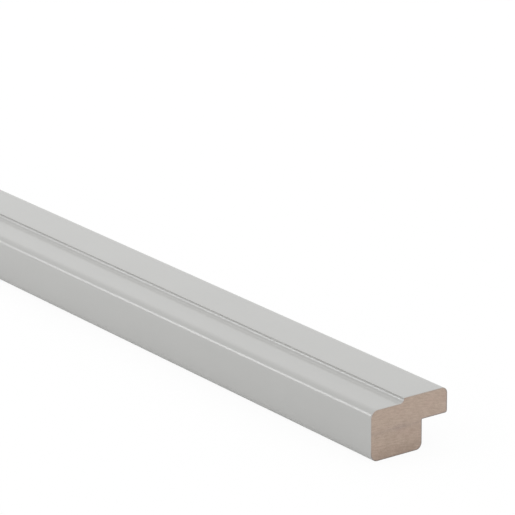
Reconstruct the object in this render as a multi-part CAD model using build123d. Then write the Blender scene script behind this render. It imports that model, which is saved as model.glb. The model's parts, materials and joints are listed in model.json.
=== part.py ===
from build123d import *
import os

# Cornice moulding: one length of solid wood, milled to its section and painted.
# It lies face up. X runs along the length, Y from the front face to the back edge
# and Z up from the underside. The origin is on the underside, in the middle of the
# length and of the width. All sizes are in millimetres.

# The stock
stock_length = 2210.0  # one full strip, sawn square at both ends
section_width = 60.0  # from the front face to the back edge of the arm

# The rebate that seats on a cabinet, and the arm that reaches over it
rebate_depth = 20.0  # from the back edge of the arm in to the rebate wall
rebate_height = 19.7  # from the underside up to the seat
arm_thickness = 17.3  # from the seat up to the raised band

# The step in the face: a short wall that runs out through a cove into the margin
margin_width = 25.6  # lower band of the face, from the front face to the step
step_height = 3.2  # the raised band stands this much above the margin
cove_radius = 2.8  # hollow at the foot of the step
shoulder_radius = 0.3  # upper edge of the step, barely eased
least_wall = 0.1  # straight stretch of the step that the cove leaves standing

# The long edges
front_arris_radius = 5.3  # the front face's two arrises, which a hand meets first
arris_radius = 4.4  # the block's rear lower arris and the arm's rear upper one
seat_arris_radius = 1.5  # lower edge of the arm, where the seat ends
rebate_corner_radius = 0.5  # left by the cutter at the root of the rebate


def section_corners():
    """Each corner of the section as (y, z) and the radius that rounds it."""
    front = -section_width / 2
    back = section_width / 2
    step = front + margin_width
    rebate_wall = back - rebate_depth
    seat = rebate_height
    top = seat + arm_thickness
    margin = top - step_height
    cove = min(cove_radius, step_height - shoulder_radius - least_wall)
    return [
        ((front, 0), front_arris_radius),
        ((rebate_wall, 0), arris_radius),
        ((rebate_wall, seat), rebate_corner_radius),
        ((back, seat), seat_arris_radius),
        ((back, top), arris_radius),
        ((step, top), shoulder_radius),
        ((step, margin), cove),
        ((front, margin), front_arris_radius),
    ]


def moulding_stock():
    """The section carried along the whole length, half of it each way from the origin."""
    points, radii = zip(*section_corners())
    with BuildPart() as stock:
        with BuildSketch(Plane.YZ):
            with BuildLine():
                FilletPolyline(*points, radius=radii, close=True)
            make_face()
        extrude(amount=stock_length / 2, both=True)
    return stock.part


os.makedirs("parts", exist_ok=True)
moulding = moulding_stock()
export_step(moulding, "parts/moulding.step")
section_area = moulding.volume / stock_length
print(f"moulding: {len(moulding.faces())} faces, section {section_area:.0f} mm2")
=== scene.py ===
# %% [markdown]
# # A painted cornice moulding
# The object is one length of wooden cornice, milled to an L-shaped section and painted
# light grey. It lies face up on a pale floor, and one sawn end faces the viewer. The CAD
# model holds its exact shape, so here only the finish is made: a thin coat of paint over
# the long faces, bare wood on the two sawn ends, and the light that shows them.
# Lengths are in metres unless a comment gives another unit, and `mm` turns a size in
# millimetres into one.

# %% Load the frame
import json
import math

import bpy
from mathutils import Matrix, Vector, geometry, kdtree, noise


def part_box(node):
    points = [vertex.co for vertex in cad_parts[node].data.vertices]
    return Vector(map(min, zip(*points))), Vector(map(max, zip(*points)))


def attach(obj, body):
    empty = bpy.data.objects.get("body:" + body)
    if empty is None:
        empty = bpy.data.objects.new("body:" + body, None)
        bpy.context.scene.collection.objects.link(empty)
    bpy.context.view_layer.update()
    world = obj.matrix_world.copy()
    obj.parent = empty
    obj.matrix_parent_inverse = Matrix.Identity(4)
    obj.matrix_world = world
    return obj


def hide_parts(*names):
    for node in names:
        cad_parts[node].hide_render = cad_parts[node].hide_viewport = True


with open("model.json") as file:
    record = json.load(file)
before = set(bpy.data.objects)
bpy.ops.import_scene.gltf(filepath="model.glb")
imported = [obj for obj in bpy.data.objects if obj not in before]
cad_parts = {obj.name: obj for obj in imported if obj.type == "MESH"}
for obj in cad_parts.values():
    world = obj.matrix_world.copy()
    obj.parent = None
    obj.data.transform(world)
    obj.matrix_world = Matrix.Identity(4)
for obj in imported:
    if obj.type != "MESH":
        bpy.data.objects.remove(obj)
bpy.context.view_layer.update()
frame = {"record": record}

mm = 0.001
low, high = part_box("moulding")
stock_length = high.x - low.x
print(f"The moulding is {stock_length:.3f} m long, {high.y - low.y:.3f} m wide and {high.z:.3f} m high")

# %% [markdown]
# ## The camera
# The photo was taken from far away with a long lens, so the moulding's long edges run
# almost parallel. Its place was worked out from the corners of the sawn end and from the
# direction of the long edges. It is given here from the lower front corner of the near
# end, because that corner is a sure point in the photo and in the model.

# %% Set the camera
photo_side = 515  # pixels
focal_length = 3285.6  # pixels
sensor_side = 36.0  # millimetres
camera_turn = math.radians(54.246)  # round the vertical, from straight ahead of the front face
camera_tilt = math.radians(18.254)  # above the horizon
camera_roll = math.radians(-0.375)
eye_from_corner = Vector((1.48457, -1.15363, 0.75322))

near_corner = Vector((high.x, low.y, low.z))
back = Vector((
    math.sin(camera_turn) * math.cos(camera_tilt),
    -math.cos(camera_turn) * math.cos(camera_tilt),
    math.sin(camera_tilt),
))
level_right = Vector((math.cos(camera_turn), math.sin(camera_turn), 0.0))
level_up = back.cross(level_right)
right = level_right * math.cos(camera_roll) + level_up * math.sin(camera_roll)
up = level_up * math.cos(camera_roll) - level_right * math.sin(camera_roll)

camera_data = bpy.data.cameras.new("photo_camera")
camera_data.sensor_width = sensor_side
camera_data.lens = focal_length / photo_side * sensor_side
camera = bpy.data.objects.new("photo_camera", camera_data)
turn = Matrix((right, up, back)).transposed().to_4x4()
camera.matrix_world = Matrix.Translation(near_corner + eye_from_corner) @ turn
bpy.context.collection.objects.link(camera)
bpy.context.scene.camera = camera
distance = eye_from_corner.length
print(f"The lens is {camera_data.lens:.1f} mm and stands {distance:.2f} m from the near corner")

# %% [markdown]
# ## Writing node trees as Python
# Both the shapes and the finishes below are node trees. A long chain of Math nodes is
# hard to read, so one small class wraps a node's output: adding, subtracting or
# multiplying two of them makes the Math node. Every other node comes from one method,
# which takes the node's type, its settings, and the values or links of its sockets.

# %% The tree
class Tree:
    """A node tree that is being built."""

    def __init__(self, nodes_and_links):
        self.tree = nodes_and_links

    def node(self, kind, settings=None, sockets=None, out=0):
        """Makes one node and returns the output that is asked for."""
        made = self.tree.nodes.new(kind)
        for name, value in (settings or {}).items():
            setattr(made, name, value)
        for name, value in (sockets or {}).items():
            socket = self.socket_of(made, name)
            if isinstance(value, Value):
                self.tree.links.new(value.socket, socket)
            else:
                socket.default_value = value
        return Value(self, made.outputs[out]) if made.outputs else None

    @staticmethod
    def socket_of(made, name):
        """An input by its number, or the one of that name which the node's settings leave in use."""
        if isinstance(name, int):
            return made.inputs[name]
        return next(s for s in made.inputs if s.name == name and s.enabled)

    def vector(self, operation, first, second, out=0):
        """Vector Math on two vectors, or on a vector and a number for SCALE."""
        last = "Scale" if operation == "SCALE" else 1
        return self.node("ShaderNodeVectorMath", {"operation": operation}, {0: first, last: second}, out)

    def read(self, name, kind="FLOAT"):
        """A number or a vector that the points of a shape carry under that name."""
        return self.node("GeometryNodeInputNamedAttribute", {"data_type": kind}, {"Name": name})

    def mark(self, shape, name, value, selection=True):
        """Writes a number on the points of a shape, under a name that Python can read later."""
        return self.node("GeometryNodeStoreNamedAttribute", {"data_type": "FLOAT", "domain": "POINT"}, {
            "Geometry": shape, "Selection": selection, "Name": name, "Value": value})

    def keep(self, shape, value, kind="FLOAT"):
        """Captures a value on a shape, so that it can be read after the shape has changed."""
        capture = self.tree.nodes.new("GeometryNodeCaptureAttribute")
        capture.capture_items.new(kind, "Kept")
        self.tree.links.new(shape.socket, capture.inputs["Geometry"])
        self.tree.links.new(value.socket, capture.inputs["Kept"])
        return Value(self, capture.outputs["Geometry"]), Value(self, capture.outputs["Kept"])


# %% The arithmetic
class Value:
    """One output of a node, which Python's own operators can work with."""

    def __init__(self, tree, socket):
        self.tree = tree
        self.socket = socket

    def output(self, name):
        """Another output of the same node."""
        return Value(self.tree, self.socket.node.outputs[name])

    def math(self, operation, *terms):
        return self.tree.node("ShaderNodeMath", {"operation": operation}, dict(enumerate(terms)))

    def __add__(self, other):
        return self.math("ADD", self, other)

    def __radd__(self, other):
        return self.math("ADD", other, self)

    def __sub__(self, other):
        return self.math("SUBTRACT", self, other)

    def __rsub__(self, other):
        return self.math("SUBTRACT", other, self)

    def __mul__(self, other):
        return self.math("MULTIPLY", self, other)

    def __rmul__(self, other):
        return self.math("MULTIPLY", other, self)

    def __truediv__(self, other):
        return self.math("DIVIDE", self, other)

    def __rtruediv__(self, other):
        return self.math("DIVIDE", other, self)

    def __lt__(self, other):
        return self.math("LESS_THAN", self, other)

    def __gt__(self, other):
        return self.math("GREATER_THAN", self, other)

    def sine(self):
        return self.math("SINE", self)

    def cosine(self):
        return self.math("COSINE", self)

    def lowest(self, other):
        return self.math("MINIMUM", self, other)

    def highest(self, other):
        return self.math("MAXIMUM", self, other)

    def clamped(self):
        """The value held between 0 and 1."""
        return self.highest(0.0).lowest(1.0)


# %% [markdown]
# ## The section
# A moulding is its section, carried along the length. The section has eight corners,
# and a cutter rounds each one: large arrises where a hand meets the wood, a cove at the
# foot of the step, and hardly anything at the shoulder. A list of corners and radii says
# all of this. Two more facts go with each corner: which way the wood lies from it, and
# whether it sticks out or goes in. With them the same list gives the outer face of the
# paint and, moved in by the paint's thickness, the wood beneath it.

# %% List the corners
front, back_edge = low.y, high.y
top = high.z
mount_places = {mount["name"]: Vector(mount["pos_m"]) for mount in frame["record"]["mounts"]}
rebate_wall = mount_places["rebate_wall"].y
seat = mount_places["rebate_seat"].z  # underside of the arm
margin_width = 25.6 * mm  # the lower band of the face, from the front face to the step
step_height = 3.2 * mm
step = front + margin_width
margin = top - step_height
front_arris, arris, seat_arris = 5.3 * mm, 4.4 * mm, 1.5 * mm
cove, shoulder, rebate_root = 2.8 * mm, 0.3 * mm, 0.5 * mm

OUT, IN = 1, -1  # an outer corner, whose radius shrinks as the outline moves in, or an inner one
corners = [  # y, z, radius, the way to the wood, outer or inner
    (front, 0, front_arris, (1, 1), OUT),
    (rebate_wall, 0, arris, (-1, 1), OUT),
    (rebate_wall, seat, rebate_root, (-1, 1), IN),
    (back_edge, seat, seat_arris, (-1, 1), OUT),
    (back_edge, top, arris, (-1, -1), OUT),
    (step, top, shoulder, (1, -1), OUT),
    (step, margin, cove, (1, -1), IN),
    (front, margin, front_arris, (1, -1), OUT),
]


def corner_mesh():
    """The corners as a closed loop of edges, with the facts of each corner as attributes."""
    mesh = bpy.data.meshes.new("section_corners")
    loop = [(i, (i + 1) % len(corners)) for i in range(len(corners))]
    mesh.from_pydata([(0, y, z) for y, z, *_ in corners], loop, [])
    mesh.attributes.new("corner_radius", "FLOAT", "POINT")
    mesh.attributes.new("way_in", "FLOAT_VECTOR", "POINT")
    mesh.attributes.new("turn", "FLOAT", "POINT")
    facts = mesh.attributes  # read again by name, because adding one moves the others
    for i, (_, _, radius, way, out_or_in) in enumerate(corners):
        facts["corner_radius"].data[i].value = radius
        facts["way_in"].data[i].vector = (0, *way)
        facts["turn"].data[i].value = out_or_in
    return mesh


radii = [radius / mm for _, _, radius, _, _ in corners]
print(f"The section has {len(corners)} corners, with radii from {min(radii):.1f} to {max(radii):.1f} mm")

# %% [markdown]
# ## Geometry Nodes that round the section
# The outline could be drawn point by point, but then every change of a radius would mean
# new points. The tree below keeps the rule instead: move the corners in, round them with
# Fillet Curve, and divide the long flats so that smooth shading stays flat there.
# Both pieces of the moulding use this one tree.

# %% Round the section
LENGTH, COUNT, FINISH = "NodeSocketFloat", "NodeSocketInt", "NodeSocketMaterial"


def new_group(name, inputs):
    """A Geometry Nodes tree with named inputs: the tree and its Group Input."""
    group = bpy.data.node_groups.new(name, "GeometryNodeTree")
    for label, kind in {"Geometry": "NodeSocketGeometry", **inputs}.items():
        group.interface.new_socket(label, in_out="INPUT", socket_type=kind)
    group.interface.new_socket("Geometry", in_out="OUTPUT", socket_type="NodeSocketGeometry")
    tree = Tree(group)
    return tree, tree.node("NodeGroupInput")


def section_group():
    """Corners in, rounded closed outline out, in the plane across the length."""
    tree, given = new_group("rounded_section", {
        "Inset": LENGTH, "Arc steps": COUNT, "Flat spacing": LENGTH})
    inset, way_in = given.output("Inset"), tree.read("way_in", "FLOAT_VECTOR")
    curve = tree.node("GeometryNodeMeshToCurve", {}, {"Mesh": given.output("Geometry")})
    moved = tree.node("GeometryNodeSetPosition", {}, {
        "Geometry": curve, "Offset": tree.vector("SCALE", way_in, inset)})
    rounded = tree.node("GeometryNodeFilletCurve", {"mode": "POLY"}, {
        "Curve": moved,
        "Count": given.output("Arc steps"),
        "Radius": (tree.read("corner_radius") - tree.read("turn") * inset).highest(0.0),
        "Limit Radius": True,
    })
    # The run from each point to the next one says how often it is cut
    here = tree.node("GeometryNodeInputPosition")
    after = tree.node("GeometryNodeOffsetPointInCurve", {}, {
        "Point Index": tree.node("GeometryNodeInputIndex"), "Offset": 1}, "Point Index")
    there = tree.node("GeometryNodeFieldAtIndex", {"data_type": "FLOAT_VECTOR"}, {
        "Value": here, "Index": after})
    run = tree.vector("DISTANCE", here, there, "Value")
    divided = tree.node("GeometryNodeSubdivideCurve", {}, {
        "Curve": rounded, "Cuts": run / given.output("Flat spacing")})
    tree.node("NodeGroupOutput", {}, {"Geometry": divided})
    return tree.tree


rounded_section = section_group()
print(f"The section's tree has {len(rounded_section.nodes)} nodes")

# %% [markdown]
# ## The paint film
# A spray gun lays a coat about a quarter of a millimetre thick over the whole strip, and
# the saw then cuts through it, so each end shows the coat as a thin line round the wood.
# Solidify could thicken a copy of the section, but its sawn edge would stay sharp.
# The tree below sweeps the outline along the length instead, draws in the last rows to
# ease the sawn arris, and pushes a second skin inwards for the coat's own thickness.

# %% Place the rows along the length
ease_rows = 3  # rows of points on the sawn arris, at each end


def row_places(tree, given):
    """Where each row of the sleeve lies along the length, and how far the sawn arris draws it in.

    The last rows at each end follow a quarter round, and one more close by holds the
    shading of the long faces straight up to it.
    """
    length, ease, hold = given.output("Length"), given.output("Sawn arris"), given.output("Hold")
    row = tree.node("GeometryNodeInputIndex")
    left = given.output("Rows") - 1 - row
    from_start = (row / ease_rows).lowest(1.0) * (math.pi / 2)
    from_end = (left / ease_rows).lowest(1.0) * (math.pi / 2)
    held = (row - ease_rows).clamped() - (left - ease_rows).clamped()
    share = ((row - ease_rows - 1) / (row + left - 2 - 2 * ease_rows)).clamped()
    reach = length - 2 * ease - 2 * hold
    place = reach * (share - 0.5) + hold * held + ease * (from_end.cosine() - from_start.cosine())
    drawn_in = ease * (2 - from_start.sine() - from_end.sine())
    return place, drawn_in


# %% Sweep the outline along the rows
def outer_skin(tree, given):
    """The outline swept along the rows, the way that each point faces, and how far it is drawn in."""
    place, drawn_in = row_places(tree, given)
    line = tree.node("GeometryNodeCurvePrimitiveLine", {}, {"Start": (0, 0, 0), "End": (1, 0, 0)})
    points = tree.node("GeometryNodeResampleCurve", {"mode": "COUNT"}, {
        "Curve": line, "Count": given.output("Rows")})
    path = tree.node("GeometryNodeSetPosition", {}, {
        "Geometry": points, "Position": tree.node("ShaderNodeCombineXYZ", {}, {"X": place})})
    path, inset = tree.keep(path, drawn_in)

    # Curve to Mesh reads a profile's X and Y, so the outline is laid down first
    outline = tree.node("GeometryNodeGroup", {"node_tree": rounded_section}, {
        "Geometry": given.output("Geometry"), "Inset": 0.0,
        "Arc steps": given.output("Arc steps"), "Flat spacing": given.output("Flat spacing")})
    where = tree.node("ShaderNodeSeparateXYZ", {}, {"Vector": tree.node("GeometryNodeInputPosition")})
    laid_down = tree.node("ShaderNodeCombineXYZ", {}, {
        "X": 0 - where.output("Y"), "Y": 0 - where.output("Z")})
    profile = tree.node("GeometryNodeSetPosition", {}, {"Geometry": outline, "Position": laid_down})
    profile = tree.mark(profile, "way_round", tree.node("GeometryNodeSplineParameter", {}, {}, "Length"))
    skin = tree.node("GeometryNodeCurveToMesh", {}, {"Curve": path, "Profile Curve": profile})
    skin, outward = tree.keep(skin, tree.node("GeometryNodeInputNormal"), "VECTOR")
    outer = tree.node("GeometryNodeSetPosition", {}, {
        "Geometry": skin, "Offset": tree.vector("SCALE", outward, 0 - inset)})
    return outer, outward, inset


# %% Give the coat its thickness
sharp_angle = math.radians(40)  # an edge that turns further than this is shaded sharp
weld_distance = 0.001 * mm  # joins the sawn rims to the outer skin


def painted_sleeve_group():
    """Corners in, a closed sleeve of paint out."""
    tree, given = new_group("painted_sleeve", {
        "Length": LENGTH, "Thickness": LENGTH, "Sawn arris": LENGTH, "Hold": LENGTH, "Rows": COUNT,
        "Arc steps": COUNT, "Flat spacing": LENGTH, "Paint": FINISH, "Cut edge": FINISH,
    })
    outer, outward, inset = outer_skin(tree, given)

    # The inner skin is the outer one pushed in, and the faces between them are the sawn rims
    sunk = tree.node("GeometryNodeExtrudeMesh", {"mode": "FACES"}, {
        "Mesh": outer, "Offset Scale": 0.0, "Individual": False})
    inner = tree.node("GeometryNodeSetPosition", {}, {
        "Geometry": sunk, "Selection": sunk.output("Top"),
        "Offset": tree.vector("SCALE", outward, inset - given.output("Thickness"))})
    inner = tree.mark(inner, "sunk", 1.0, sunk.output("Top"))
    both = tree.node("GeometryNodeJoinGeometry")
    for skin in (tree.node("GeometryNodeFlipFaces", {}, {"Mesh": inner}), outer):
        tree.tree.links.new(skin.socket, both.socket.node.inputs[0])
    closed = tree.node("GeometryNodeMergeByDistance", {}, {
        "Geometry": both, "Distance": weld_distance})
    shaded = tree.node("GeometryNodeSetShadeSmooth", {"domain": "EDGE"}, {
        "Geometry": closed, "Shade Smooth": tree.node("GeometryNodeInputMeshEdgeAngle") < sharp_angle})
    real = tree.node("GeometryNodeRealizeInstances", {}, {"Geometry": shaded})
    painted = tree.node("GeometryNodeSetMaterial", {}, {
        "Geometry": real, "Material": given.output("Paint")})
    finished = tree.node("GeometryNodeSetMaterial", {}, {
        "Geometry": painted, "Selection": sunk.output("Side"), "Material": given.output("Cut edge")})
    tree.node("NodeGroupOutput", {}, {"Geometry": finished})
    return tree.tree


painted_sleeve = painted_sleeve_group()
print(f"The sleeve's tree has {len(painted_sleeve.nodes)} nodes")

# %% [markdown]
# ## The paint's finish
# It is a satin lacquer in a light, faintly cool grey. The colour itself hardly varies,
# so the finish comes from its surface: a low roughness that blurs what it mirrors, the
# soft ripple that every sprayed coat dries with, and a few slightly duller places left
# by hands and packing. Three marks in the colour are painted light and shade: a fine
# darker line along the shoulder of the step is painted shade, a paler line in the cove
# is a painted highlight, and a paler band on the margin before the cove's foot is painted
# light against the step's shade. The noise reads Object coordinates, so it has its real
# size.

# %% Start a finish
def new_finish(name):
    """A material and the tree of its nodes, with nothing in it."""
    finish = bpy.data.materials.new(name)
    finish.use_nodes = True
    finish.node_tree.nodes.clear()
    return finish, Tree(finish.node_tree)


def speckle(tree, place, size, detail=2.0, roughness=0.5):
    """Noise whose spots are about as large as size says, from 0 to 1."""
    return tree.node("ShaderNodeTexNoise", {}, {
        "Vector": place, "Scale": 1 / size, "Detail": detail, "Roughness": roughness})


def blend(tree, factor, first, second):
    """One colour turning into another."""
    return tree.node("ShaderNodeMix", {"data_type": "RGBA"}, {
        "Factor": factor, "A": first, "B": second}, "Result")


def slope(tree, value, start, end):
    """0 at start and 1 at end, with a smooth rise between them."""
    return tree.node("ShaderNodeMapRange", {"interpolation_type": "SMOOTHSTEP"}, {
        "Value": value, "From Min": start, "From Max": end})


def near_line(parts, y, z, width, height):
    """1 on a line along the strip at (y, z), fading to 0 beyond its width and height."""
    across = (parts.output("Y") - y) / width
    rise = (parts.output("Z") - z) / height
    away = across * across + rise * rise
    return 1 / (1 + away * away)


# %% Mix the paint
def paint_finish():
    finish, tree = new_finish("grey_lacquer")
    place = tree.node("ShaderNodeTexCoord", {}, {}, "Object")
    parts = tree.node("ShaderNodeSeparateXYZ", {}, {"Vector": place})
    cloud = speckle(tree, place, 45 * mm)
    ripple = speckle(tree, place, 1.6 * mm, detail=1.0)
    sag = speckle(tree, place, 14 * mm, detail=1.0)
    handled = speckle(tree, place, 70 * mm, detail=4.0)
    # Painted light: a paler band on the margin before the cove's foot, against the step's shade
    foot = near_line(parts, y=step - 4.1 * mm, z=margin, width=2.2 * mm, height=3 * mm)
    # Painted highlight: a paler line in the cove
    painted_cove_highlight = near_line(parts, y=step - 0.42 * mm, z=margin + 1.4 * mm, width=0.25 * mm, height=0.5 * mm)
    # Painted shade: a darker line along the shoulder of the step
    painted_shoulder_shade = near_line(parts, y=step + 0.06 * mm, z=top - 0.6 * mm, width=0.24 * mm, height=0.6 * mm)

    darker_grey, lighter_grey = (0.455, 0.455, 0.444, 1), (0.475, 0.475, 0.463, 1)
    # The paler grey is painted light and the darker one is painted shade
    painted_light_grey, painted_shade_grey = (0.6, 0.6, 0.588, 1), (0.2, 0.19, 0.175, 1)
    colour = blend(tree, cloud, darker_grey, lighter_grey)
    # Painted light pales the margin before the cove's foot, and a painted highlight pales the cove
    colour = blend(tree, foot * 0.23 + painted_cove_highlight * 0.36, colour, painted_light_grey)
    # Painted shade darkens the line along the shoulder
    colour = blend(tree, painted_shoulder_shade * 0.31, colour, painted_shade_grey)
    height = ripple * 0.003 + sag * 0.012  # millimetres
    bump = tree.node("ShaderNodeBump", {}, {"Height": height, "Strength": 1.0, "Distance": mm})
    surface = tree.node("ShaderNodeBsdfPrincipled", {}, {
        "Base Color": colour, "Roughness": 0.17 + handled * 0.06, "Normal": bump, "IOR": 1.5})
    tree.node("ShaderNodeOutputMaterial", {}, {"Surface": surface})
    return finish


lacquer = paint_finish()
print(f"The finish {lacquer.name} has {len(lacquer.node_tree.nodes)} nodes")

# %% [markdown]
# ## Where the saw went through the coat
# The cut through the coat is only a quarter of a millimetre wide, so colour alone is
# enough for it: pale on the left and top sides of the section as a painted highlight,
# where the sawn arris catches light, and dark on the right and bottom sides as painted
# shade. One slope across the section tells the two sides apart. The wood's finish reads
# that slope too.

# %% Colour the cut through the coat
shade_starts, shade_is_full = 56 * mm, 68 * mm  # where the painted shade starts and is full, on a slope across the section


def painted_shade_side(tree, parts):
    """0 on the left and top sides of the section and 1 on the right and bottom sides, where the cut coat
    and the wood's rim get painted shade.
    """
    across_section = parts.output("Y") - front + 2 * (top - parts.output("Z"))
    return slope(tree, across_section, shade_starts, shade_is_full)


def cut_edge_finish():
    finish, tree = new_finish("cut_paint")
    place = tree.node("ShaderNodeTexCoord", {}, {}, "Object")
    parts = tree.node("ShaderNodeSeparateXYZ", {}, {"Vector": place})
    chips = speckle(tree, place, 0.8 * mm, detail=3.0)
    # A pale painted highlight on the left and top sides, and a dark painted shade on the right and bottom
    # sides
    painted_edge_highlight = blend(tree, chips, (0.56, 0.51, 0.46, 1), (0.7, 0.645, 0.59, 1))
    painted_edge_shade = blend(tree, chips, (0.15, 0.135, 0.13, 1), (0.25, 0.23, 0.22, 1))
    colour = blend(tree, painted_shade_side(tree, parts), painted_edge_highlight, painted_edge_shade)
    surface = tree.node("ShaderNodeBsdfPrincipled", {}, {"Base Color": colour, "Roughness": 0.7})
    tree.node("ShaderNodeOutputMaterial", {}, {"Surface": surface})
    return finish


cut_edge = cut_edge_finish()
print(f"The finish {cut_edge.name} has {len(cut_edge.node_tree.nodes)} nodes")

# %% [markdown]
# ## The finished film
# The sleeve's tree is now run with this strip's sizes and its two finishes. The result
# is kept as a plain mesh, so that its flat layout can be written on it further down.

# %% Grow the film
film_thickness = 0.28 * mm
arc_steps = 14  # points on each rounded corner
film_sizes = {
    "Length": stock_length,
    "Thickness": film_thickness,
    "Sawn arris": 0.12 * mm,
    "Hold": 0.5 * mm,  # from the arris to the row that holds the shading
    "Rows": 63,  # rings of points, those on the arrises among them
    "Arc steps": arc_steps,
    "Flat spacing": 3 * mm,
}


def grow(name, source, group, inputs):
    """Runs a tree on a mesh and returns the result as a plain mesh."""
    worker = bpy.data.objects.new(name, source)
    bpy.context.collection.objects.link(worker)
    modifier = worker.modifiers.new("tree", "NODES")
    modifier.node_group = group
    for item in group.interface.items_tree:
        if item.in_out == "INPUT" and item.name in inputs:
            modifier[item.identifier] = inputs[item.name]
    evaluated = worker.evaluated_get(bpy.context.evaluated_depsgraph_get())
    mesh = bpy.data.meshes.new_from_object(evaluated)
    bpy.data.objects.remove(worker)
    mesh.name = name
    return mesh


film_mesh = grow("paint_film", corner_mesh(), painted_sleeve, {
    **film_sizes, "Paint": lacquer, "Cut edge": cut_edge})
film_mesh.materials.pop(index=0)  # the empty slot that the corner mesh brought along
paint_film = bpy.data.objects.new("paint_film", film_mesh)
bpy.context.collection.objects.link(paint_film)
print(f"The paint film has {len(film_mesh.polygons)} faces in {len(film_mesh.materials)} finishes")

# %% [markdown]
# ## The wood and its sawn ends
# Under the coat lies one length of close-grained wood, and only its two ends show. A
# crosscut blade leaves them flat but not smooth: each tooth scores a shallow arc. Bump
# alone would vanish in a close view along the face, so the arcs are real hollows in a
# fine mesh. They go inwards only, so that the ends stay inside the stock's length.

# %% Read the wood's outline
end_spacing = 0.45 * mm  # between the points on a sawn end


def outline_points(inset, spacing):
    """The section's outline as (y, z) points, read from the section tree."""
    tree, given = new_group("section_wire", {"Inset": LENGTH})
    outline = tree.node("GeometryNodeGroup", {"node_tree": rounded_section}, {
        "Geometry": given.output("Geometry"), "Inset": given.output("Inset"),
        "Arc steps": arc_steps, "Flat spacing": spacing})
    real = tree.node("GeometryNodeRealizeInstances", {}, {
        "Geometry": tree.node("GeometryNodeCurveToMesh", {}, {"Curve": outline})})
    tree.node("NodeGroupOutput", {}, {"Geometry": real})
    wire = grow("section_wire", corner_mesh(), tree.tree, {"Inset": inset})
    kept = []
    for vertex in wire.vertices:
        point = Vector(vertex.co.yz)
        if not kept or (point - kept[-1]).length > 0.2 * spacing:  # a tight round has too many
            kept.append(point)
    return kept


wood_outline = outline_points(film_thickness, end_spacing)
print(f"The wood's outline has {len(wood_outline)} points")

# %% Score the sawn ends
end_seeds = {1: 3.0, -1: 9.0}  # the right end and the left one have marks of their own
blade_radius = 300 * mm
blade_centre = (-39 * mm, -282 * mm)
mark_length, ridge_width, score_width = 26 * mm, 1.3 * mm, 3.1 * mm
fibre_width, fibre_height = 1.0 * mm, 0.7 * mm
mean_depth, ridge_depth, fibre_depth, score_depth = 0.016, 0.013, 0.005, 0.04  # millimetres


def saw_mark_depth(y, z, seed):
    """How far a point of the sawn end lies below the end plane."""
    out = math.hypot(y - blade_centre[0], z - blade_centre[1]) - blade_radius
    along = (y - blade_centre[0]) / mark_length
    # Each kind of mark reads a layer of the noise of its own
    ridge = noise.noise((out / ridge_width, along, seed))
    score = noise.noise((out / score_width, along * 0.6, seed + 40))
    fibre = noise.noise((y / fibre_width, z / fibre_height, seed + 80))
    deep_score = max(0.0, score - 0.28)  # only the noise's highest places
    depth = mean_depth + ridge_depth * ridge + fibre_depth * fibre + score_depth * deep_score
    return max(0.0, depth) * mm


middle_depth = saw_mark_depth(0, top / 2, end_seeds[1])
print(f"In its middle the right end is scored {middle_depth / mm:.3f} mm deep")

# %% Fill the section with triangles
row_height = 0.866  # of a row of equal triangles, as a share of their side


def rim_finder(outline):
    """A function that says how far a (y, z) place is from the nearest point of the outline."""
    rim = kdtree.KDTree(len(outline))
    for i, point in enumerate(outline):
        rim.insert((0, *point), i)
    rim.balance()
    return lambda place: rim.find((0, *place))[2]


def end_triangles(outline, spacing):
    """Fine triangles over the section, as (y, z) points with the outline's own points first."""
    points = list(outline)
    from_rim = rim_finder(outline)
    rows = int(top / (spacing * row_height))
    for r in range(1, rows + 1):
        for c in range(int((back_edge - front) / spacing)):
            place = Vector((front + (c + 0.5 * (r % 2)) * spacing, r * spacing * row_height))
            in_rebate = place.x > rebate_wall and place.y < seat
            if from_rim(place) > 0.5 * spacing and not in_rebate:
                points.append(place)
    ring = list(range(len(outline)))
    inside_only, same_place = 1, 0.0001 * mm
    points, _, faces, *_ = geometry.delaunay_2d_cdt(points, [], [ring], inside_only, same_place)
    return points, faces


section_points, section_triangles = end_triangles(wood_outline, end_spacing)
print(f"A sawn end has {len(section_triangles)} triangles")

# %% Saw the ends
soaked_width = 0.8 * mm


def wood_mesh():
    """Both sawn ends and the long faces between them, as one closed mesh."""
    used = sorted({i for face in section_triangles for i in face})
    place_of = {i: n for n, i in enumerate(used)}
    vertices, faces = [], []
    for end, seed in end_seeds.items():
        first = len(vertices)
        for i in used:
            y, z = section_points[i]
            vertices.append((end * (stock_length / 2 - saw_mark_depth(y, z, seed)), y, z))
        for face in section_triangles:
            ring = [first + place_of[i] for i in face]
            faces.append(ring if end == 1 else ring[::-1])
    ring = [place_of[i] for i in range(len(wood_outline))]
    for a, b in zip(ring, ring[1:] + ring[:1]):
        faces.append((a, a + len(used), b + len(used), b))
    mesh = bpy.data.meshes.new("wood_stock")
    mesh.from_pydata(vertices, [], faces)
    return mesh


def mark_soaked(mesh):
    """Marks how much each point has soaked up from the coat: 1 at the rim, 0 further in."""
    from_rim = rim_finder(wood_outline)
    soaked = mesh.attributes.new("soaked", "FLOAT", "POINT")
    for vertex, mark in zip(mesh.vertices, soaked.data):
        mark.value = max(0.0, 1 - from_rim(vertex.co.yz) / soaked_width)


stock_mesh = wood_mesh()
mark_soaked(stock_mesh)
stock_mesh.shade_smooth()
stock_mesh.set_sharp_from_angle(angle=sharp_angle)
print(f"The wood has {len(stock_mesh.polygons)} faces")

# %% [markdown]
# ## The sawn wood's finish
# The ends are an even light brown, drawn out sideways by the blade, with short fibres
# and hardly any rings. A fine darker line crosses them at half height, perhaps where two
# layers were glued, with a greyish stain on it. Close to the paint the wood has soaked
# some of it up, and its rim is darker still on the right and bottom sides, which is
# painted shade; the bottom few millimetres are darker too, as painted shade near the
# floor. The colours sit in the material, and the pattern follows the same blade arcs as
# the hollows do, so that both read as one cut.

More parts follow.
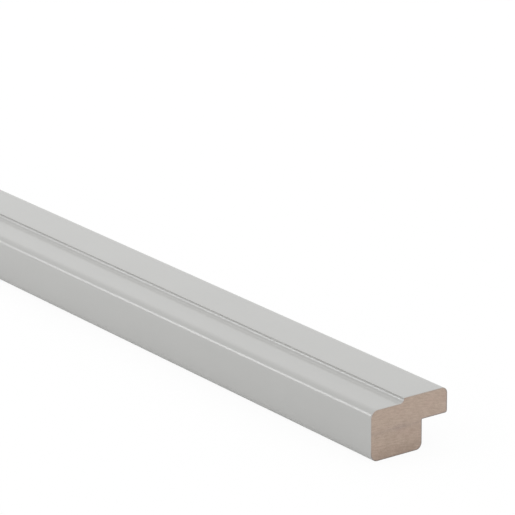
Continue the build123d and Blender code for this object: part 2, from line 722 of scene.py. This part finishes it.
# %% Draw the wood's pattern
def wood_pattern(tree, place, parts, fibres):
    """How dark the wood is: streaks along the blade's arcs, clouds, fibres, and a darker foot, which is
    painted shade near the floor.
    """
    y, z = parts.output("Y"), parts.output("Z")
    sideways = y - blade_centre[0]
    out = z + sideways * sideways / (2 * blade_radius)
    streak_place = tree.node("ShaderNodeCombineXYZ", {}, {"X": y / 5, "Y": out, "Z": parts.output("X")})
    streaks = speckle(tree, streak_place, 1.0 * mm)
    cloud = speckle(tree, place, 6 * mm, detail=3.0)
    upper_half = slope(tree, z, 16 * mm, 22 * mm)
    # Painted shade: darker towards the floor over the bottom few millimetres
    foot = slope(tree, z, 10 * mm, 3 * mm)
    overall = 0.47 - upper_half * 0.1 + foot * 0.25
    return overall + (streaks - 0.5) * 1.5 + (cloud - 0.5) * 0.35 + (fibres - 0.5) * 1.5


def shaded_places(tree, place, parts, fibres):
    """How grey the wood is: the glue line, which wavers, the stain on it, and the soaked rim, darker on the
    right and bottom sides as painted shade.
    """
    wave = speckle(tree, place, 12 * mm, detail=1.0)
    off_line = (parts.output("Z") - 18.4 * mm + (wave - 0.5) * 1.6 * mm) / (0.8 * mm)
    glue_line = 1 / (1 + off_line * off_line)
    stain = near_line(parts, y=-7 * mm, z=18.8 * mm, width=6 * mm, height=2 * mm)
    soaked = tree.node("ShaderNodeAttribute", {"attribute_name": "soaked"}, {}, "Fac")
    # Darker near the coat where it soaked some up, and more so on the right and bottom sides as painted
    # shade
    rim = soaked * (0.36 + painted_shade_side(tree, parts) * 0.3)
    return (glue_line * 0.16 + stain * (0.06 + fibres * 0.2) + rim).lowest(1.0)


# %% Colour the sawn wood
def wood_finish():
    finish, tree = new_finish("sawn_end_grain")
    place = tree.node("ShaderNodeTexCoord", {}, {}, "Object")
    parts = tree.node("ShaderNodeSeparateXYZ", {}, {"Vector": place})
    fibres = speckle(tree, place, 0.7 * mm, detail=3.0, roughness=0.7)
    pores = speckle(tree, place, 0.9 * mm, detail=1.0)
    hue = speckle(tree, place, 9 * mm, detail=1.0)

    light_wood, dark_wood = (0.54, 0.425, 0.346, 1), (0.386, 0.294, 0.232, 1)
    ruddy_wood, greyed_wood = (0.52, 0.35, 0.31, 1), (0.26, 0.215, 0.21, 1)
    colour = blend(tree, wood_pattern(tree, place, parts, fibres), light_wood, dark_wood)
    colour = blend(tree, (hue - 0.5) * 0.4 + 0.02, colour, ruddy_wood)
    colour = blend(tree, shaded_places(tree, place, parts, fibres), colour, greyed_wood)
    height = fibres * 0.03 - (pores > 0.62) * 0.03  # millimetres
    bump = tree.node("ShaderNodeBump", {}, {"Height": height, "Strength": 1.0, "Distance": mm})
    surface = tree.node("ShaderNodeBsdfPrincipled", {}, {
        "Base Color": colour, "Roughness": 0.72 + (fibres - 0.5) * 0.2, "Normal": bump})
    tree.node("ShaderNodeOutputMaterial", {}, {"Surface": surface})
    return finish


sawn_wood = wood_finish()
stock_mesh.materials.append(sawn_wood)
wood_stock = bpy.data.objects.new("wood_stock", stock_mesh)
bpy.context.collection.objects.link(wood_stock)
print(f"The finish {sawn_wood.name} has {len(sawn_wood.node_tree.nodes)} nodes")

# %% [markdown]
# ## A flat layout for each piece
# Other programs can't read these node trees, so each finish has to be baked into a
# picture, laid out by a UV map. An automatic layout would shrink a strip that is forty
# times as long as it is wide to a thin line. Here the painted faces are unrolled and cut
# into three lanes, one above the other, and each sawn end gets a large flat place of its
# own. The hidden faces share small strips, because no face may be left without one.

# %% Lay out the paint
film_left, film_width = 0.005, 0.99  # all sizes on the map are shares of its side
lanes, lane_foot, lane_pitch, lane_height = 3, 0.01, 0.27, 0.26
hidden_foot, hidden_height = 0.83, 0.07
right_rim_foot, left_rim_foot, rim_height = 0.915, 0.955, 0.02


def lay_out(mesh, places):
    """Gives a mesh the UV map that the export looks for, from one (u, v) for each face corner."""
    uv = mesh.uv_layers.new(name="OFBake")
    uv.data.foreach_set("uv", [number for place in places for number in place])


def film_places(mesh):
    """The unrolled film: its outer skin in lanes, then the hidden inner skin and the two sawn rims."""
    way_round = [item.value for item in mesh.attributes["way_round"].data]
    sunk = [item.value for item in mesh.attributes["sunk"].data]
    places_round = sorted(set(way_round))  # the face that closes the ring is as wide as the last one
    perimeter = 2 * places_round[-1] - places_round[-2]
    lane_length = (stock_length - 2 * (film_sizes["Sawn arris"] + film_sizes["Hold"])) / lanes
    lane_start = -lane_length * lanes / 2
    places = []
    for face in mesh.polygons:
        turns = [way_round[i] for i in face.vertices]
        if max(turns) - min(turns) > perimeter / 2:  # the face that closes the ring
            turns = [t if t > perimeter / 2 else perimeter for t in turns]
        hidden = all(sunk[i] > 0.5 for i in face.vertices)
        for i, t in zip(face.vertices, turns):
            x, share = mesh.vertices[i].co.x, t / perimeter
            if mesh.materials[face.material_index] == cut_edge:
                foot = right_rim_foot if face.center.x > 0 else left_rim_foot
                across, up_map = share, foot + rim_height * sunk[i]
            elif hidden:
                across, up_map = x / stock_length + 0.5, hidden_foot + hidden_height * share
            else:
                lane = min(max(int((face.center.x - lane_start) / lane_length), 0), lanes - 1)
                across = (x - lane_start - lane * lane_length) / lane_length
                up_map = lane_foot + lane_pitch * lane + lane_height * share
            places.append((film_left + film_width * across, up_map))
    return places


lay_out(film_mesh, film_places(film_mesh))
print(f"The film has {len(film_mesh.loops)} face corners laid out")

# %% Lay out the wood
end_left, right_end_foot, left_end_foot, end_height = 0.01, 0.01, 0.51, 0.46
long_left, long_width, long_foot, long_height = 0.8, 0.18, 0.01, 0.98


def wood_places(mesh):
    """Both sawn ends flat and in proportion, one above the other, and the hidden faces beside them."""
    scale = end_height / (top - low.z)
    first_hidden = len(mesh.polygons) - len(wood_outline)
    places = []
    for face in mesh.polygons:
        foot = right_end_foot if face.center.x > 0 else left_end_foot
        for n, i in enumerate(face.vertices):
            x, y, z = mesh.vertices[i].co
            if face.index < first_hidden:
                places.append((end_left + (y - front) * scale, foot + (z - low.z) * scale))
            else:
                share = (face.index - first_hidden + (n > 1)) / len(wood_outline)
                up_map = long_foot + long_height * (x / stock_length + 0.5)
                places.append((long_left + long_width * share, up_map))
    return places


lay_out(stock_mesh, wood_places(stock_mesh))
print(f"The wood has {len(stock_mesh.loops)} face corners laid out")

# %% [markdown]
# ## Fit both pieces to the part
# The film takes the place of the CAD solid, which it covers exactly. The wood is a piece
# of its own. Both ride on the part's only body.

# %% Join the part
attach(paint_film, "root")
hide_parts("moulding")
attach(wood_stock, "root")
print(f"The pieces {paint_film.name} and {wood_stock.name} ride on the part")

# %% [markdown]
# ## The floor
# A wide white board a fifth of a millimetre under the part. Part of its white is given
# by the material to what the camera and the mirrors see, so that the background is pure
# white without more lamps on the object, and the rest still takes its shadow. Seen from
# below it is clear, and it lets light through to the underside, where a board that
# touched the part would leave the views from below in the dark.

# %% Lay the floor
floor_reach = 30.0  # from the middle to each side
floor_gap = 0.2 * mm
contact_distance = 0.6 * mm  # the floor lets through what meets it sooner than this
own_white_seen, own_white_mirrored = 0.93, 0.08  # the share that the board gives off itself


def ray_kinds(tree):
    """The Light Path node, then masks for what the camera looks at and for what gloss mirrors."""
    rays = tree.node("ShaderNodeLightPath")
    looked_at = rays.output("Is Camera Ray").highest(rays.output("Is Transmission Ray"))
    return rays, looked_at, rays.output("Is Glossy Ray")


def floor_finish():
    finish, tree = new_finish("white_board")
    rays, looked_at, mirrored = ray_kinds(tree)
    tone = blend(tree, looked_at.highest(mirrored), (0.8, 0.8, 0.8, 1), (0.97, 0.97, 0.97, 1))
    board = tree.node("ShaderNodeBsdfDiffuse", {}, {"Color": tone})
    white = tree.node("ShaderNodeEmission", {}, {"Color": (1, 1, 1, 1), "Strength": 1.0})
    clear = tree.node("ShaderNodeBsdfTransparent")
    own_white = looked_at * own_white_seen + mirrored * own_white_mirrored
    mixed = tree.node("ShaderNodeMixShader", {}, {0: own_white, 1: board, 2: white})
    below = tree.node("ShaderNodeNewGeometry", {}, {}, "Backfacing")
    touching = rays.output("Is Diffuse Ray") * (rays.output("Ray Length") < contact_distance)
    both = tree.node("ShaderNodeMixShader", {}, {0: below.highest(touching), 1: mixed, 2: clear})
    tree.node("ShaderNodeOutputMaterial", {}, {"Surface": both})
    return finish


floor_mesh = bpy.data.meshes.new("floor")
under = low.z - floor_gap
floor_corners = [(x * floor_reach, y * floor_reach, under) for x, y in ((-1, -1), (1, -1), (1, 1), (-1, 1))]
floor_mesh.from_pydata(floor_corners, [], [(0, 1, 2, 3)])
floor_mesh.materials.append(floor_finish())
floor = bpy.data.objects.new("floor", floor_mesh)
bpy.context.collection.objects.link(floor)
print(f"The floor lies {floor_gap / mm:.1f} mm under the part")

# %% [markdown]
# ## The light
# The photo has the even light of a white studio: hardly a shadow, and pale grey on every
# side. A white world gives that. The paint also mirrors the room, so one patch of the
# world is duller to mirrored rays alone, and darkens the round of the front arris as the
# real room did. Three lamps give the rest. A broad one in front of the middle of the
# length makes the strip a little brighter away from its near end, and one high up behind
# lifts the top. The low one draws the bright lines along the front arris and the cove. It
# lies parallel to the strip, so that the lines keep their place along it, and beyond its
# far end, so that the flat top mirrors it from one direction only. It shows in the
# paint's gloss alone, because a lamp this strong would bleach the front face.

# %% Paint the world
dull_way = (-0.75, -0.467, 0.467)  # to the left of the near end, in front of the strip and up
dull_reach, dull_core = math.radians(42), math.radians(22)  # from the middle of the dull patch


def studio_world():
    """A white world, a little dimmer as a light than it looks, with one dull patch for mirrored rays."""
    world = bpy.data.worlds.new("white_studio")
    world.use_nodes = True
    world.node_tree.nodes.clear()
    sky = Tree(world.node_tree)
    _, looked_at, mirrored = ray_kinds(sky)
    way = sky.node("ShaderNodeTexCoord", {}, {}, "Generated")
    nearness = sky.vector("DOT_PRODUCT", way, dull_way, "Value")
    dull_patch = slope(sky, nearness, math.cos(dull_reach), math.cos(dull_core))
    as_a_light = 1 - looked_at.highest(mirrored)
    dimness = as_a_light * 0.095 + mirrored * dull_patch * 0.38
    tone = blend(sky, dimness, (1, 1, 1, 1), (0, 0, 0, 1))
    background = sky.node("ShaderNodeBackground", {}, {"Color": tone})
    sky.node("ShaderNodeOutputWorld", {}, {"Surface": background})
    return world


bpy.context.scene.world = studio_world()
bpy.context.scene.view_settings.view_transform = "Standard"
print(f"The world is {bpy.context.scene.world.name}")

# %% Hang the lamps
def soft_box(name, centre, target, width, height, radiance, mirrored=True, lighting=True):
    """A lamp that faces its target, and is as bright as radiance says from any side of its front."""
    data = bpy.data.lights.new(name, "AREA")
    data.shape = "RECTANGLE"
    data.size, data.size_y = width, height
    data.energy = radiance * width * height * math.pi
    lamp = bpy.data.objects.new(name, data)
    lamp.location = centre
    lamp.rotation_euler = (target - centre).to_track_quat("-Z", "Y").to_euler()
    lamp.visible_camera = False
    lamp.visible_glossy = mirrored
    lamp.visible_diffuse = lighting
    bpy.context.collection.objects.link(lamp)
    print(f"The lamp {name} is {(target - centre).length:.2f} m away and gives {data.energy:.1f} W")


def in_front(target, degrees, away):
    """A place in front of the strip's line, so many degrees above the target and so far away."""
    angle = math.radians(degrees)
    return target + away * Vector((0, -math.cos(angle), math.sin(angle)))


stock_middle = Vector((0, front, top))
soft_box("broad_lamp", in_front(stock_middle, degrees=30, away=1.65), stock_middle,
         width=1.6, height=1.6, radiance=0.7, mirrored=False)

near_end = near_corner + Vector((-0.2, 0.03, 0.02))
high_behind = near_end + Vector((-1.2, 1.4, 2.4))
soft_box("overhead", high_behind, near_end, width=2.0, height=2.0, radiance=0.95, mirrored=False)

beyond_far_end = near_corner + Vector((-9.2, 0, 0))
soft_box("low_strip", in_front(beyond_far_end, degrees=23, away=7.6), beyond_far_end,
         width=4.2, height=3.2, radiance=4.8, lighting=False)
